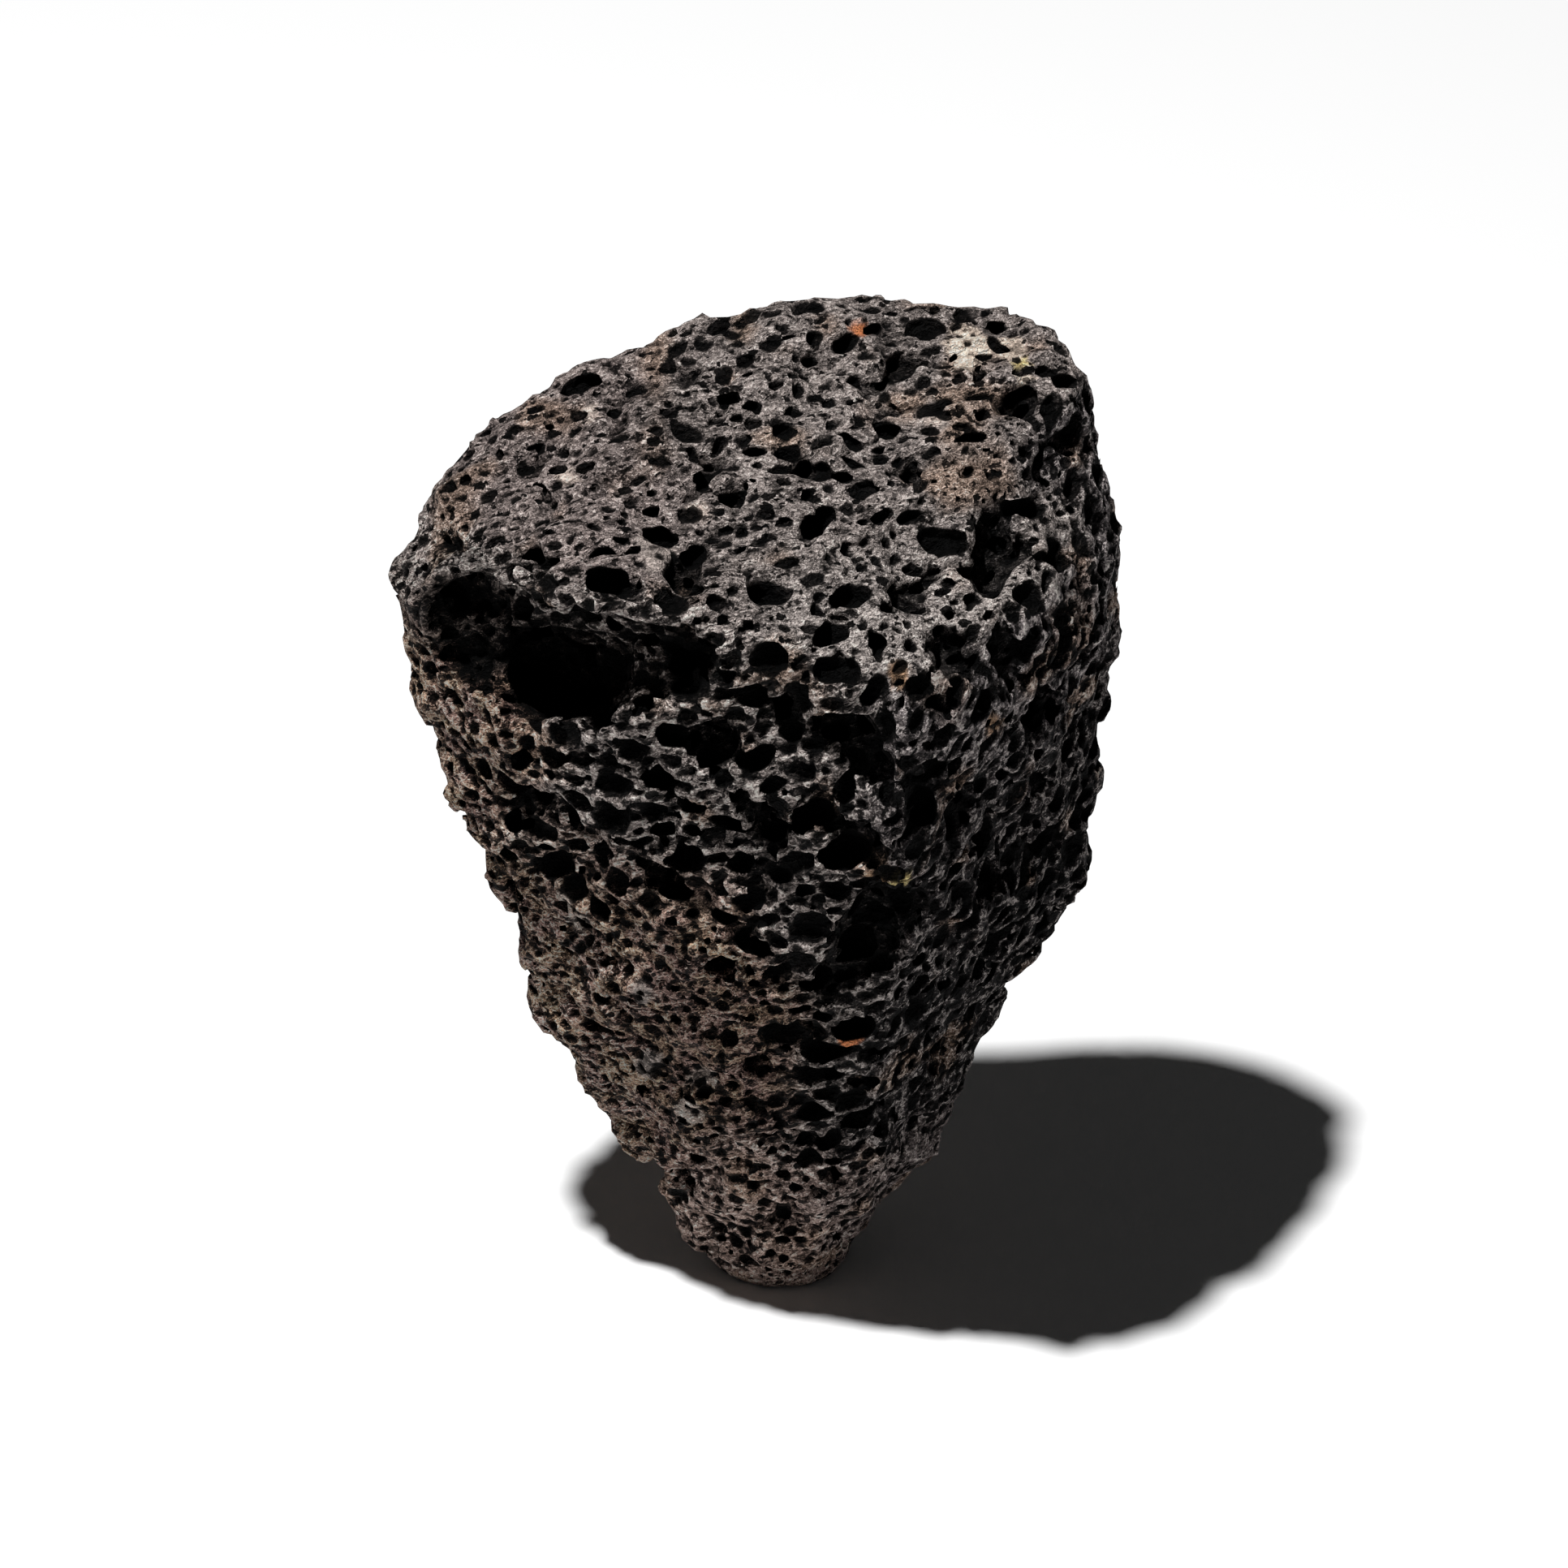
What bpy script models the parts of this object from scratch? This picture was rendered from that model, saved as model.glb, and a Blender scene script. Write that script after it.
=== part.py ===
"""Lava rock: one lump of vesicular basalt, about 158 mm tall, standing on its small blunt end.

The stone widens upwards like a broad wedge. Its top is a broken face that tilts towards the front,
a brow runs round the front of that face, and a recess lies under the left half of the brow. Below,
the left and right fronts meet in a rounded ridge and taper down to the foot, a worn flat on which
the stone balances. Gas bubbles left pits all over it.

The frame: the origin is the middle of the foot, +Z is up and the front looks along -Y.
Lengths below are in millimetres; MM turns them into Blender's metres.
"""

import math
import random

import bmesh
import bpy
from mathutils import Matrix, Vector
from mathutils.bvhtree import BVHTree

MM = 0.001
SEED = 11

# The broken block, before it is weathered: its corners, from the crown down to the foot.
CROWN = [
    (-40, 10.5, 141.6), (-28, 15, 150.5), (-17, 17.5, 154.6), (-8, 18, 156.4), (8, 21, 154),
    (22, 20, 155.7), (34.5, 15, 159.3), (38.5, 9, 158), (38, 5, 145),
]
BROW = [
    (-50.5, 5, 132.5), (-56, 0, 124), (-56, -4, 114.5), (-50, -16, 130), (-31, -28, 134.5),
    (-9, -36, 133), (10, -40, 128), (26, -37, 126), (35, -27, 131), (37, -3, 146),
]
GIRDLE = [
    (50, 0, 129), (50, -2, 123), (47, -5, 112), (48, 0, 95), (18, -39, 105), (-25, -30, 104),
    (-53, -5, 106), (-50.5, -7, 94), (-45, 13, 114), (-32, 21, 124), (0, 25, 126), (29, 23, 122),
    (44, 13, 114),
]
WAIST = [
    (45, 0, 72), (16, -33, 80), (-18, -26, 72), (-48, -6, 79), (-39, 20, 88), (-4, 30, 92),
    (31, 27, 86),
]
ANKLE = [
    (35, 0, 48), (14, -24, 54), (-11, -20, 42), (-39, -4, 57), (-28, 19, 58), (3, 29, 58),
    (27, 22, 52), (26, 1, 28), (18, -1, 13), (9, -15, 25), (1, -10, 9), (-27, -3, 31),
    (-21, -1, 12), (-15, 14, 30), (8, 19, 26), (2, 14, 9),
]
# The foot reaches below the ground, where it is cut off flat.
FOOT_DEPTH = 5
FOOT = [(-4, 1), (-4, -3), (-2, -6), (3, -6), (5, -3), (5, 3), (2, 6), (-3, 5)]

# Weathering: the size of the steps that the block is rebuilt with, and its lumps.
GRAIN = 2.2
ROUNDING_STEPS = 5
BROAD_LUMPS = {"size": 24, "height": 6.5}
FINE_LUMPS = {"size": 9, "height": 3.2}
BODY_TRIANGLES = 2100

# Scoops broken out of the block: middle, half-lengths, and turns about X, Y and Z in degrees.
SCOOPS = {
    "left_notch": ((-54, -12, 67), (8, 16, 6), (0, 20, 0)),
    "crown_saddle": ((3, 22, 162), (16, 14, 7), (0, 0, 0)),
    "foot_hollow": ((25, -9, 15), (7, 12, 7), (0, 30, 0)),
    "hollow_over_ledge": ((-33, -26, 84), (5, 8, 9), (0, 10, -20)),
    "hollow_under_ledge": ((-16, -27, 52), (13, 8, 5), (10, 12, -10)),
    "brow_dip": ((-8, -40, 112), (12, 6, 6), (0, 0, 10)),
    "flank_step": ((50, -6, 147), (8, 14, 9), (0, -20, 0)),
    "front_flute": ((15, -38, 70), (5, 7, 15), (12, 14, 0)),
    "back_flute": ((-14, 33, 84), (10, 6, 22), (-6, 10, 0)),
    "back_shelf": ((22, 30, 106), (20, 7, 7), (0, -16, -8)),
    "left_shelf": ((-51, 9, 96), (6, 15, 6), (14, 0, 0)),
    "right_shelf": ((50, 13, 92), (6, 12, 9), (20, 0, 10)),
}

# Sight lines: large pits of the front, the top and the right flank are set out as they are seen
# from an eye in front of the stone and above it. Each has its place across and up in the upright
# plane square to the line of sight through the middle of the stone, its width and height there,
# and its turn from level in degrees, counter-clockwise.
EYE_DISTANCE = 850
EYE_ELEVATION = 32
EYE_TARGET = (0, 0, 87)
SEEN_PITS = [
    (17.0, 61.5, 5.4, 3.8, 0), (-14.5, 59.5, 3.8, 3.0, 20), (-24.5, 53.0, 3.5, 2.4, 0),
    (-10.2, 54.8, 3.0, 2.5, 0), (14.0, 54.5, 5.0, 2.5, -10), (18.5, 46.6, 6.4, 5.0, 30),
    (3.0, 47.0, 5.2, 4.4, 30), (7.2, 48.5, 2.6, 2.8, 0), (-7.2, 42.3, 4.6, 3.2, 10),
    (-11.0, 47.4, 4.6, 2.4, 0), (-34.9, 42.3, 3.6, 3.8, 40), (-27.6, 42.6, 2.8, 2.0, 0),
    (3.6, 37.4, 3.8, 2.8, 10), (10.7, 34.4, 4.6, 2.0, 0), (-15.1, 31.5, 5.4, 4.0, 10),
    (-22.7, 28.4, 3.5, 2.8, 0), (-3.1, 29.6, 2.8, 2.3, 0), (18.2, 27.5, 4.8, 4.3, 20),
    (21.7, 30.8, 3.6, 3.1, 0), (31.2, 32.8, 5.6, 10.4, -8), (35.6, 35.3, 3.5, 4.5, 10),
    (33.9, 19.3, 4.4, 7.9, 0), (26.5, 45.6, 3.0, 2.5, 0), (38.1, 45.0, 2.6, 7.4, -5),
    (34.4, 56.3, 4.4, 5.4, 20), (41.2, 49.6, 3.4, 4.9, 10), (-0.7, 9.7, 5.0, 4.3, -20),
    (23.3, 20.5, 5.4, 5.4, 0), (28.5, 18.0, 3.5, 4.2, 0), (22.5, 12.1, 4.4, 3.8, 0),
    (8.8, 7.4, 8.8, 4.4, -10), (13.0, 2.5, 6.7, 4.8, 0), (-10.8, 5.0, 7.2, 6.0, 20),
    (10.6, -9.3, 7.2, 4.6, 0), (20.7, -5.1, 4.4, 8.4, -15), (26.1, -5.0, 5.6, 7.0, 0),
    (13.7, -22.5, 7.6, 12.0, -12), (21.3, -18.2, 4.4, 4.4, 0), (38.0, 10.2, 4.8, 5.2, 0),
    (37.4, -1.0, 3.4, 3.4, 0), (-32.3, -12.6, 2.6, 6.0, 10), (-17.4, -14.6, 4.8, 4.6, 0),
    (-39.8, -20.6, 3.6, 5.0, 0), (11.2, -45.2, 4.4, 3.2, 0), (7.6, -57.6, 3.0, 3.3, 0),
    (-0.1, -64.8, 2.6, 3.2, 0), (4.0, -52.8, 3.4, 3.2, 0), (-1.9, -7.6, 5.0, 4.2, 0),
    (30.4, -14.0, 5.2, 3.4, 25), (29.5, -27.5, 3.6, 3.4, 0), (23.0, -40.0, 3.2, 4.6, -20),
    (-24.0, -34.0, 4.0, 3.0, 0), (-9.0, -27.0, 4.6, 3.2, -10), (44.0, 28.0, 3.2, 5.6, 0),
    (5.5, -5.0, 7.0, 3.6, -10), (-5.5, -3.8, 6.0, 2.8, -15), (-2.6, -14.5, 2.8, 5.0, 0),
    (-5.8, -22.8, 2.8, 2.8, 0), (2.2, -37.2, 4.2, 3.4, 0), (-3.2, -41.4, 3.6, 2.8, 0),
    (-38.0, -3.0, 6.5, 3.6, 10), (-47.8, 35.0, 3.4, 4.0, 30), (-36.5, 33.0, 2.6, 3.4, 0),
    (6.2, -30.8, 4.5, 3.4, 0), (-41.5, -14.5, 3.6, 6.5, 10), (-14.4, -57.8, 2.8, 3.0, 0),
]
# The recess that runs in under the left half of the brow, set out in the same way: the outline of
# each of its parts, how far it goes in along the lines of sight, and into how many strips its faces
# are divided to be left ragged.
RECESS = {
    "under_the_brow": {
        "outline": [
            (-53.5, 26), (-51, 31), (-31, 26.6), (-10, 21.6), (-9.5, 16), (-18, 11), (-27, 7),
            (-36, 8.5), (-46, 12.5), (-52, 19),
        ],
        "depth": 4,
        "strips": 2,
    },
    "slot_over_ledge": {
        "outline": [(-54, 27), (-51, 31), (-45, 31), (-34, 28.4), (-33.5, 26), (-43, 24.2)],
        "depth": 11,
        "strips": 2,
    },
    "hollow": {
        "outline": [
            (-41.5, 22.8), (-31.5, 24.6), (-25, 23.4), (-20.5, 22.5), (-20.7, 14.5), (-23.5, 11),
            (-27, 7.6), (-34, 9), (-41, 11.5),
        ],
        "depth": 17,
        "strips": 3,
    },
    "end_bubble": {
        "outline": [(-21.5, 22.8), (-14, 22.6), (-9.9, 20), (-10, 17.5), (-12, 15.4), (-19, 15.8)],
        "depth": 8,
        "strips": 2,
    },
}
RECESS_PROUD = 5
RECESS_TAPER = 0.84
RECESS_RAGGEDNESS = 1.1

SCATTERED_PITS = 62
SCATTERED_SIZE = (3.0, 7.5)
PIT_SPACING = 1.1
DEEP_ENOUGH = 3
TURNED_AWAY = -0.45
PIT_ROUGHNESS = 0.16
LARGE_PIT = 7.0
BARE_FOOT_HEIGHT = 5

STONE_COLOR = (0.052, 0.049, 0.047, 1)
STONE_ROUGHNESS = 0.95


def clear_scene():
    for obj in list(bpy.data.objects):
        bpy.data.objects.remove(obj, do_unlink=True)


def collection(name):
    made = bpy.data.collections.new(name)
    bpy.context.scene.collection.children.link(made)
    return made


def basalt():
    material = bpy.data.materials.new("basalt")
    material.use_nodes = True
    shader = material.node_tree.nodes["Principled BSDF"]
    shader.inputs["Base Color"].default_value = STONE_COLOR
    shader.inputs["Roughness"].default_value = STONE_ROUGHNESS
    shader.inputs["Metallic"].default_value = 0
    return material


def object_from(bm, name, home):
    """The bmesh as a new object in that collection."""
    mesh = bpy.data.meshes.new(name)
    bm.to_mesh(mesh)
    bm.free()
    obj = bpy.data.objects.new(name, mesh)
    home.objects.link(obj)
    return obj


def as_cutter(obj):
    obj.hide_render = True
    obj.display_type = "WIRE"
    return obj


def baked(obj):
    """The object's mesh as its modifiers leave it, in place of the object's own."""
    graph = bpy.context.evaluated_depsgraph_get()
    mesh = bpy.data.meshes.new_from_object(obj.evaluated_get(graph))
    obj.modifiers.clear()
    obj.data = mesh
    return obj


def hull_of(bm):
    """Turns the loose corners in bm into the convex block that they span."""
    hull = bmesh.ops.convex_hull(bm, input=bm.verts)
    inner = {e for e in hull["geom_interior"] + hull["geom_unused"] if isinstance(e, bmesh.types.BMVert)}
    bmesh.ops.delete(bm, geom=list(inner), context="VERTS")
    bmesh.ops.recalc_face_normals(bm, faces=bm.faces)


def broken_block(home):
    """The block before it is weathered."""
    bm = bmesh.new()
    foot = [(x, y, -FOOT_DEPTH) for x, y in FOOT]
    for corner in CROWN + BROW + GIRDLE + WAIST + ANKLE + foot:
        bm.verts.new(Vector(corner) * MM)
    hull_of(bm)
    return object_from(bm, "lava_rock", home)


def lump(bm, middle, halves, turn, subdivisions, roughness, dice):
    """An uneven ball in bm: middle and half-lengths in metres, turn a rotation matrix."""
    made = bmesh.ops.create_icosphere(bm, subdivisions=subdivisions, radius=1)["verts"]
    for vert in made:
        uneven = 1 + dice.uniform(-roughness, roughness)
        local = Vector(a * b for a, b in zip(vert.co * uneven, halves))
        vert.co = middle + turn @ local


def add_hollows(bm, hollows, subdivisions, roughness, dice):
    for middle, halves, turns in hollows.values():
        turn = Matrix.Identity(3)
        for axis, angle in zip("XYZ", turns):
            turn = Matrix.Rotation(math.radians(angle), 3, axis) @ turn
        lump(bm, Vector(middle) * MM, Vector(halves) * MM, turn, subdivisions, roughness, dice)


def scoops(home):
    """The worn hollows, as one cutter."""
    bm = bmesh.new()
    add_hollows(bm, SCOOPS, 3, 0.05, random.Random(SEED))
    return as_cutter(object_from(bm, "scoops", home))


def add_lumps(obj, name, size, height):
    texture = bpy.data.textures.new(name, "CLOUDS")
    texture.noise_scale = size * MM
    texture.noise_depth = 2
    displace = obj.modifiers.new(name, "DISPLACE")
    displace.texture = texture
    displace.strength = height * MM


def weather(obj, cutter):
    """Takes the scoops out of the block, rounds its edges and gives it lumps."""
    cut = obj.modifiers.new("scoops", "BOOLEAN")
    cut.operation = "DIFFERENCE"
    cut.object = cutter
    cut.use_self = True
    rebuild = obj.modifiers.new("rebuild", "REMESH")
    rebuild.mode = "VOXEL"
    rebuild.voxel_size = GRAIN * MM
    rounding = obj.modifiers.new("rounding", "SMOOTH")
    rounding.factor = 0.5
    rounding.iterations = ROUNDING_STEPS
    add_lumps(obj, "broad_lumps", **BROAD_LUMPS)
    add_lumps(obj, "fine_lumps", **FINE_LUMPS)
    return baked(obj)


def cut_foot(obj):
    """Cuts the stone off flat at the ground."""
    bm = bmesh.new()
    bm.from_mesh(obj.data)
    everything = bm.verts[:] + bm.edges[:] + bm.faces[:]
    down = (0, 0, -1)
    cut = bmesh.ops.bisect_plane(
        bm, geom=everything, plane_co=(0, 0, 0), plane_no=down, clear_outer=True
    )
    rim = [e for e in cut["geom_cut"] if isinstance(e, bmesh.types.BMEdge)]
    bmesh.ops.contextual_create(bm, geom=rim)
    bm.to_mesh(obj.data)
    bm.free()


def thin_out(obj, triangles):
    """Fewer triangles where the stone is nearly flat."""
    obj.data.calc_loop_triangles()
    decimate = obj.modifiers.new("thin_out", "DECIMATE")
    decimate.ratio = triangles / len(obj.data.loop_triangles)
    return baked(obj)


def surface_of(obj):
    graph = bpy.context.evaluated_depsgraph_get()
    return BVHTree.FromObject(obj, graph)


def pit_frame(normal, level, turn_degrees):
    """A rotation whose Z is the surface normal and whose X is level, turned about the normal."""
    across = (level - normal * level.dot(normal)).normalized()
    frame = Matrix((across, normal.cross(across), normal)).transposed()
    return frame @ Matrix.Rotation(math.radians(turn_degrees), 3, "Z")


def to_the_eye():
    elevation = math.radians(EYE_ELEVATION)
    return Vector((0, -math.cos(elevation), math.sin(elevation)))


def line_of_sight(across, above):
    """The eye, and the direction in which it sees that point of the upright plane."""
    back = to_the_eye()
    right = Vector((1, 0, 0))
    target = Vector(EYE_TARGET) * MM
    eye = target + back * EYE_DISTANCE * MM
    aim = target + (right * across + back.cross(right) * above) * MM
    return eye, (aim - eye).normalized()


def seen_pits(surface):
    """The pits set out along sight lines: (place, frame, width, length) of each, in metres."""
    back = to_the_eye()
    found = []
    for across, above, width, height, turn in SEEN_PITS:
        place, normal, _, _ = surface.ray_cast(*line_of_sight(across, above))
        if place is None:
            continue
        slant = max(0.55, normal.dot(back))
        frame = pit_frame(normal, Vector((1, 0, 0)), turn)
        found.append((place, frame, width * MM, height * MM / slant))
    return found


def recess_part(surface, outline, depth):
    """A block that goes in from just outside the surface, narrower towards its inner end."""
    mouth = []
    inner = []
    for across, above in outline:
        eye, sight = line_of_sight(across, above)
        place = surface.ray_cast(eye, sight)[0]
        mouth.append(place - sight * RECESS_PROUD * MM)
        inner.append(place + sight * depth * MM)
    middle = sum(inner, Vector()) / len(inner)
    part = bmesh.new()
    for corner in mouth:
        part.verts.new(corner)
    for corner in inner:
        part.verts.new(middle + (corner - middle) * RECESS_TAPER)
    hull_of(part)
    return part


def add_recess(bm, surface, dice):
    """The parts of the recess, with their faces divided and shaken."""
    for form in RECESS.values():
        part = recess_part(surface, form["outline"], form["depth"])
        bmesh.ops.subdivide_edges(part, edges=part.edges, cuts=form["strips"] - 1, use_grid_fill=True)
        for vert in part.verts:
            shake = [dice.uniform(-1, 1) * RECESS_RAGGEDNESS * MM for _ in range(3)]
            vert.co += Vector(shake)
        bmesh.ops.triangulate(part, faces=part.faces)
        mesh = bpy.data.meshes.new("recess")
        part.to_mesh(mesh)
        part.free()
        bm.from_mesh(mesh)
        bpy.data.meshes.remove(mesh)


def scattered_pits(surface, obj, taken):
    """Pits on the sides turned away from the eye, clear of the foot and of the others."""
    dice = random.Random(SEED + 2)
    obj.data.calc_loop_triangles()
    triangles = obj.data.loop_triangles
    weights = [t.area for t in triangles]
    found = []
    while len(found) < SCATTERED_PITS:
        triangle = dice.choices(triangles, weights)[0]
        corners = [obj.data.vertices[i].co for i in triangle.vertices]
        place = sum(corners, Vector()) / 3
        width = dice.uniform(*SCATTERED_SIZE) * MM
        length = width * dice.uniform(0.6, 1.0)
        near = any(
            (place - other[0]).length < PIT_SPACING * (width + other[2]) / 2 for other in taken + found
        )
        if near or place.z < BARE_FOOT_HEIGHT * MM + width / 2:
            continue
        _, normal, _, _ = surface.find_nearest(place)
        if normal.dot(to_the_eye()) > TURNED_AWAY:
            continue
        _, _, _, thickness = surface.ray_cast(place - normal * 0.1 * MM, -normal)
        if thickness is None or thickness < DEEP_ENOUGH * width:
            continue
        frame = pit_frame(normal, Vector((0.6, 0.2, 0.8)), dice.uniform(-25, 25))
        found.append((place, frame, width, length))
    return found


def pit_cutter(pits, surface, home):
    """The recess and all the pits, as one cutter: the pits are uneven balls sunk into the surface."""
    bm = bmesh.new()
    dice = random.Random(SEED + 1)
    add_recess(bm, surface, dice)
    for place, frame, width, length in pits:
        depth = 1.3 * min(width, length)
        halves = Vector((width / 2, length / 2, depth / 2)) * 1.22
        middle = place - frame.col[2] * depth * 0.1
        subdivisions = 2 if max(width, length) > LARGE_PIT * MM else 1
        lump(bm, middle, halves, frame, subdivisions, PIT_ROUGHNESS, dice)
    return as_cutter(object_from(bm, "pits", home))


def drop_crumbs(obj):
    """Deletes what the pits cut loose from the stone."""
    bm = bmesh.new()
    bm.from_mesh(obj.data)
    waiting = set(bm.verts)
    pieces = []
    while waiting:
        piece = set()
        reached = {waiting.pop()}
        while reached:
            piece |= reached
            reached = {e.other_vert(v) for v in reached for e in v.link_edges} - piece
        waiting -= piece
        pieces.append(piece)
    stone = max(pieces, key=len)
    crumbs = [v for v in bm.verts if v not in stone]
    bmesh.ops.delete(bm, geom=crumbs, context="VERTS")
    bm.to_mesh(obj.data)
    bm.free()


def main():
    clear_scene()
    stone_home = collection("lava_rock")
    cutter_home = collection("cutters")
    stone = weather(broken_block(stone_home), scoops(cutter_home))
    thin_out(stone, BODY_TRIANGLES)
    cut_foot(stone)
    surface = surface_of(stone)
    pits = seen_pits(surface)
    pits += scattered_pits(surface, stone, pits)
    cut = stone.modifiers.new("pits", "BOOLEAN")
    cut.operation = "DIFFERENCE"
    cut.object = pit_cutter(pits, surface, cutter_home)
    cut.use_self = True
    drop_crumbs(baked(stone))
    stone.data.materials.append(basalt())


main()
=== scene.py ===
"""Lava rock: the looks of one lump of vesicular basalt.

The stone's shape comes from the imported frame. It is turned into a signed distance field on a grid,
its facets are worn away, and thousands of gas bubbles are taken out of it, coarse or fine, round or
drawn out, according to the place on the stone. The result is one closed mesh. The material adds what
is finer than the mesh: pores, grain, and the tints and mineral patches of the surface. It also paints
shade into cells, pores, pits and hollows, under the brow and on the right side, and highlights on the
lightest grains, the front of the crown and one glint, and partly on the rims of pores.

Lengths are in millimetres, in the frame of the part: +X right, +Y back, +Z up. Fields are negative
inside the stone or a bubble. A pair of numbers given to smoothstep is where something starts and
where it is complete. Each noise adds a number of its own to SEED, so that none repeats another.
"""

import math

import bpy
import numpy as np
import openvdb
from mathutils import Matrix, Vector


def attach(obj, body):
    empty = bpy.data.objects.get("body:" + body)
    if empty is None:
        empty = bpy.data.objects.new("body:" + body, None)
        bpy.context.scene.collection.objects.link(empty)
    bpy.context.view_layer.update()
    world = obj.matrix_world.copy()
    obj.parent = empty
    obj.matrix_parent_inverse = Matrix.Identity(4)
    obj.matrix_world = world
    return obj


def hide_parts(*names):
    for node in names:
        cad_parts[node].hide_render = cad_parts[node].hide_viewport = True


MM = 0.001
SEED = 23
VOXEL = 0.4
COARSE_VOXEL = 1.3
MARGIN = 6.0
FAR = 9.0
TRIANGLES = 194000
SHARP_DEGREES = 55

# The camera: it looks down on the stone from the front.
EYE_DISTANCE = 850
EYE_ELEVATION = math.radians(32)
EYE_TARGET = Vector((0.1, 0, 86.8))
EYE_BACK = Vector((0, -math.cos(EYE_ELEVATION), math.sin(EYE_ELEVATION)))
EYE_UP = Vector((0, math.sin(EYE_ELEVATION), math.cos(EYE_ELEVATION)))
LENS = 133.0
SENSOR = 36

# The studio: one lamp, a faint light from all round, and a pale floor.
LAMP_PLACE = Vector((-224, -180, 990))
LAMP_WATTS = 59
LAMP_RADIUS = 22
LIGHT_ALL_ROUND = 0.025
FLOOR_HALF = 4000
FLOOR_COLOUR = (0.8, 0.8, 0.8, 1)
FLOOR_ROUGHNESS = 0.8


# ---------------------------------------------------------------- fields on a grid

# The cells on each side of a surface that it is made from, the sigmas that a blur reaches, how far
# before the end of a grid its last place is, the side of a noise's table, and a start past zero in it.
BAND_CELLS = 2
BLUR_REACH = 2.5
LAST_PLACE = 1.001
NOISE_SIDE = 64
NOISE_START = 1000


class Grid:
    """A box of cubic cells around the stone; fields on it are float32 arrays in millimetres."""

    def __init__(self, points, cell, margin):
        self.cell = cell
        self.low = np.floor((points.min(0) - margin) / cell).astype(int)
        self.high = np.ceil((points.max(0) + margin) / cell).astype(int)
        self.shape = tuple(self.high - self.low)
        self.transform = openvdb.createLinearTransform(cell)

    def corner(self):
        return tuple(int(i) for i in self.low)

    def signed_distance(self, points, triangles, reach):
        made = openvdb.FloatGrid.createLevelSetFromPolygons(
            points, triangles=triangles, transform=self.transform, halfWidth=reach / self.cell
        )
        field = np.empty(self.shape, np.float32)
        made.copyToArray(field, ijk=self.corner())
        return field

    def polygons(self, field):
        """The field's zero surface, as points in millimetres and quads."""
        band = BAND_CELLS * self.cell
        made = openvdb.FloatGrid(band)
        made.transform = self.transform
        made.copyFromArray(np.clip(field, -band, band), ijk=self.corner())
        points, _, quads = made.convertToPolygons(0.0, 0.0)
        return points, quads

    def place(self, index):
        """Positions of cells given as an array of index triples."""
        return (index + self.low) * np.float32(self.cell)

    def index(self, points):
        """The nearest cells to points, as three arrays."""
        nearest = np.rint(points / self.cell).astype(int) - self.low
        return tuple(np.clip(nearest, 0, np.array(self.shape) - 1).T)

    def sample(self, field, points):
        """The field between its cells, at points."""
        at = points / np.float32(self.cell) - self.low.astype(np.float32)
        at = np.clip(at, 0, np.array(self.shape, np.float32) - LAST_PLACE)
        first = at.astype(np.int32)
        return between(field.ravel(), first, first + 1, at - first, self.shape)


def between(values, low, high, part, shape):
    """Values of a flattened grid read between its cells: part of the way from index low to index high."""
    def read(i, j, k):
        return values[(i * shape[1] + j) * shape[2] + k]

    (i0, j0, k0), (i1, j1, k1) = low.T.astype(np.int64), high.T.astype(np.int64)
    x, y, z = part.T if values.ndim == 1 else part.T[:, :, None]
    near = read(i0, j0, k0) * (1 - x) + read(i1, j0, k0) * x
    far = read(i0, j1, k0) * (1 - x) + read(i1, j1, k0) * x
    lower = near * (1 - y) + far * y
    near = read(i0, j0, k1) * (1 - x) + read(i1, j0, k1) * x
    far = read(i0, j1, k1) * (1 - x) + read(i1, j1, k1) * x
    return lower * (1 - z) + (near * (1 - y) + far * y) * z


def blurred(field, sigma):
    """A Gaussian blur; sigma is in cells."""
    reach = math.ceil(BLUR_REACH * sigma)
    weights = np.exp(-np.arange(-reach, reach + 1) ** 2 / (2 * sigma**2))
    weights /= weights.sum()
    for axis in range(3):
        padded = np.pad(field, [(reach, reach) if a == axis else (0, 0) for a in range(3)], mode="edge")
        field = np.zeros_like(field)
        window = [slice(None)] * 3
        for step, weight in enumerate(weights):
            window[axis] = slice(step, step + field.shape[axis])
            field += np.float32(weight) * padded[tuple(window)]
    return field


def noise(points, size, seed, parts=None):
    """Smooth noise from -1 to 1 with lumps about that size across, in one part or several."""
    count = NOISE_SIDE**3
    values = np.random.default_rng(seed).uniform(-1, 1, (count, parts) if parts else count)
    at = (points / size + NOISE_START).astype(np.float32)
    first = np.floor(at).astype(np.int32)
    part = at - first
    part = part * part * (3 - 2 * part)
    low, high = first % NOISE_SIDE, (first + 1) % NOISE_SIDE
    return between(values.astype(np.float32), low, high, part, (NOISE_SIDE,) * 3)


def smoothstep(low, high, value):
    t = np.clip((value - low) / (high - low), 0, 1)
    return t * t * (3 - 2 * t)


# ---------------------------------------------------------------- the character of each place

FLOW = Vector((0.93, -0.1, 0.36))
FLANK_FLOW = Vector((0.35, 0.3, 0.88))

# Where the kinds of rock lie: where each starts, where it is complete, and how far that wanders. A
# rise is how far the skin looks up, from -1 to 1. The fine rock lies around a middle, flattened, and
# the nose's edge leans to the right with its height.
WANDER_SIZE = 16
CROWN_RISES = (0.28, 0.58, 0.12)
CROWN_HEIGHTS = (112, 122, 0)
FINE_MIDDLE = (-34, 4, 138)
FINE_SHAPE = (1, 1, 0.6)
FINE_REACH = (34, 14, 0)
NOSE_HEIGHTS = (44, 26, 6)
NOSE_EDGE = (-14, -4, 0)
NOSE_SHIFT = 14
NOSE_LEAN = 0.35
FLANK_EDGE = (8, 20, 5)
FOAM_HEIGHTS = (96, 78, 8)
FOAM_EDGE = (6, -6, 6)
FOAM_LEFT_EDGE = (-34, -44, 5)

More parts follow.
